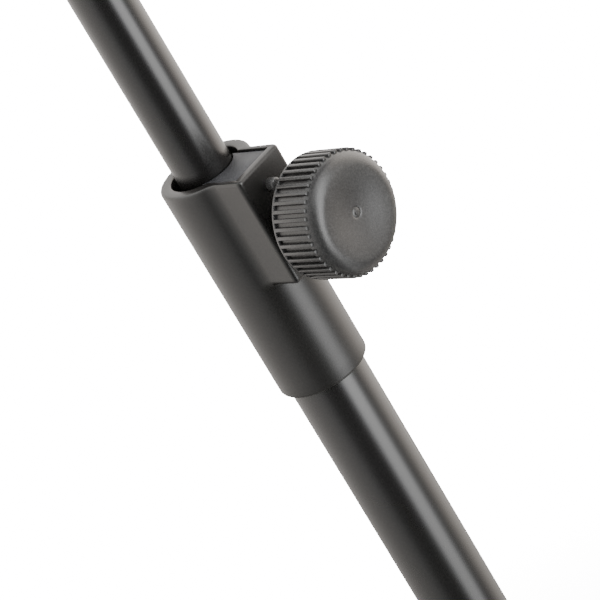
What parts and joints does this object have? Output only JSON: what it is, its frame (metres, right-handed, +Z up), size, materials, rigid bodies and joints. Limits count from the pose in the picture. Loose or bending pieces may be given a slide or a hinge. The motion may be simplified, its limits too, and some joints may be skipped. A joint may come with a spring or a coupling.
{
  "type": "music stand",
  "caption": "Folding music stand with a height-adjustable two-part tube, a side clamp with a ribbed knob, and a tilting perforated sheet desk.",
  "frame": {"origin": "point on the floor under the axis of the column", "axes": "+Z up along the column, -Y towards the player and the clamp knob, +X to the player's right as they face the desk"},
  "size_m": [0.5256, 0.4552, 1.1632],
  "materials": {
    "black_paint": "satin black powder coat",
    "black_plastic": "satin moulded black plastic",
    "knob_plastic": "fine-grained matte black plastic",
    "block_plastic": "grained dark grey plastic",
    "zinc": "zinc-plated steel",
    "dark_steel": "blackened steel",
    "brass": "plain turned brass",
    "nylon": "natural nylon",
    "foot_rubber": "matt black rubber"
  },
  "bodies": {
    "column": {"lower_tube": "black_paint", "tube_plug": "nylon", "base_hub": "black_plastic", "hub_screw": "zinc", "hub_pins": "zinc", "clamp_collar": "black_plastic", "guide_liner": "nylon", "collar_pin": "dark_steel", "keeper_pin": "zinc"},
    "mast": {"upper_tube": "black_paint", "tube_glide": "nylon", "tilt_head": "black_plastic", "head_grub": "dark_steel"},
    "height_block": {"clamp_block": "block_plastic"},
    "height_knob": {"clamp_knob": "knob_plastic", "clamp_screw": "zinc"},
    "strut_1": {"strut_1": "black_paint"},
    "leg_1": {"leg_1": "black_paint", "leg_rivet_1": "zinc", "foot_1": "foot_rubber"},
    "strut_2": {"strut_2": "black_paint"},
    "leg_2": {"leg_2": "black_paint", "leg_rivet_2": "zinc", "foot_2": "foot_rubber"},
    "strut_3": {"strut_3": "black_paint"},
    "leg_3": {"leg_3": "black_paint", "leg_rivet_3": "zinc", "foot_3": "foot_rubber"},
    "slider": {"slider": "black_plastic", "slider_pins": "zinc"},
    "lock_pad": {"slider_pad": "brass"},
    "lock_knob": {"slider_knob": "knob_plastic", "slider_screw": "zinc"},
    "desk": {"desk_panel": "black_paint", "music_ledge": "black_paint", "ledge_rivets": "black_paint", "desk_bracket": "black_paint", "bracket_rivets": "black_paint", "tilt_bolt": "zinc", "tilt_washers": "nylon"},
    "tilt_press": {"press_washer": "zinc"},
    "tilt_knob": {"tilt_knob": "knob_plastic", "tilt_insert": "brass"}
  },
  "joints": [
    {"name": "height_slide", "type": "slide", "parent": "column", "child": "mast", "axis": [0, 0, 1], "range_m": [-0.175, 0.13]},
    {"name": "block_press", "type": "slide", "parent": "column", "child": "height_block", "axis": [0, -1, 0], "range_m": [-0.00026, 0.00051]},
    {"name": "height_knob_turn", "type": "hinge", "parent": "height_block", "child": "height_knob", "pos_m": [0, -0.04, 0.616], "axis": [0, -1, 0], "range_deg": [-72, 144]},
    {"name": "strut_1_fold", "type": "hinge", "parent": "column", "child": "strut_1", "pos_m": [0, 0.026, 0.03], "axis": [1, 0, 0], "range_deg": [0, 57]},
    {"name": "leg_1_fold", "type": "hinge", "parent": "strut_1", "child": "leg_1", "pos_m": [0, 0.13863, 0.08989], "axis": [1, 0, 0], "range_deg": [-114, 0]},
    {"name": "slider_ride", "type": "hinge", "parent": "leg_1", "child": "slider", "pos_m": [0, 0.026, 0.14978], "axis": [1, 0, 0], "range_deg": [0, 57]},
    {"name": "strut_2_fold", "type": "hinge", "parent": "column", "child": "strut_2", "pos_m": [-0.02252, -0.013, 0.03], "axis": [-0.5, 0.866, 0], "range_deg": [0, 57]},
    {"name": "leg_2_fold", "type": "hinge", "parent": "strut_2", "child": "leg_2", "pos_m": [-0.12006, -0.06932, 0.08989], "axis": [-0.5, 0.866, 0], "range_deg": [-114, 0]},
    {"name": "strut_3_fold", "type": "hinge", "parent": "column", "child": "strut_3", "pos_m": [0.02252, -0.013, 0.03], "axis": [-0.5, -0.866, 0], "range_deg": [0, 57]},
    {"name": "leg_3_fold", "type": "hinge", "parent": "strut_3", "child": "leg_3", "pos_m": [0.12006, -0.06932, 0.08989], "axis": [-0.5, -0.866, 0], "range_deg": [-114, 0]},
    {"name": "lock_press", "type": "slide", "parent": "slider", "child": "lock_pad", "axis": [0, -1, 0], "range_m": [-0.00026, 0.00051]},
    {"name": "lock_knob_turn", "type": "hinge", "parent": "lock_pad", "child": "lock_knob", "pos_m": [0, -0.038, 0.14678], "axis": [0, -1, 0], "range_deg": [-72, 144]},
    {"name": "desk_tilt", "type": "hinge", "parent": "mast", "child": "desk", "pos_m": [0, 0, 0.9895], "axis": [-1, 0, 0], "range_deg": [-22, 68]},
    {"name": "press_travel", "type": "slide", "parent": "desk", "child": "tilt_press", "axis": [1, 0, 0], "range_m": [0, 0.00126]},
    {"name": "tilt_knob_turn", "type": "hinge", "parent": "tilt_press", "child": "tilt_knob", "pos_m": [0.025, 0, 0.9895], "axis": [1, 0, 0], "range_deg": [0, 360]}
  ],
  "couplings": [
    {"joint": "block_press", "follows": "height_knob_turn", "m_per_rad": 0.00019894},
    {"joint": "lock_press", "follows": "lock_knob_turn", "m_per_rad": 0.00019894},
    {"joint": "press_travel", "follows": "tilt_knob_turn", "m_per_rad": 0.00019894},
    {"joint": "leg_1_fold", "follows": "strut_1_fold", "ratio": -2},
    {"joint": "slider_ride", "follows": "strut_1_fold", "ratio": 1},
    {"joint": "strut_2_fold", "follows": "strut_1_fold", "ratio": 1},
    {"joint": "leg_2_fold", "follows": "strut_1_fold", "ratio": -2},
    {"joint": "strut_3_fold", "follows": "strut_1_fold", "ratio": 1},
    {"joint": "leg_3_fold", "follows": "strut_1_fold", "ratio": -2}
  ]
}
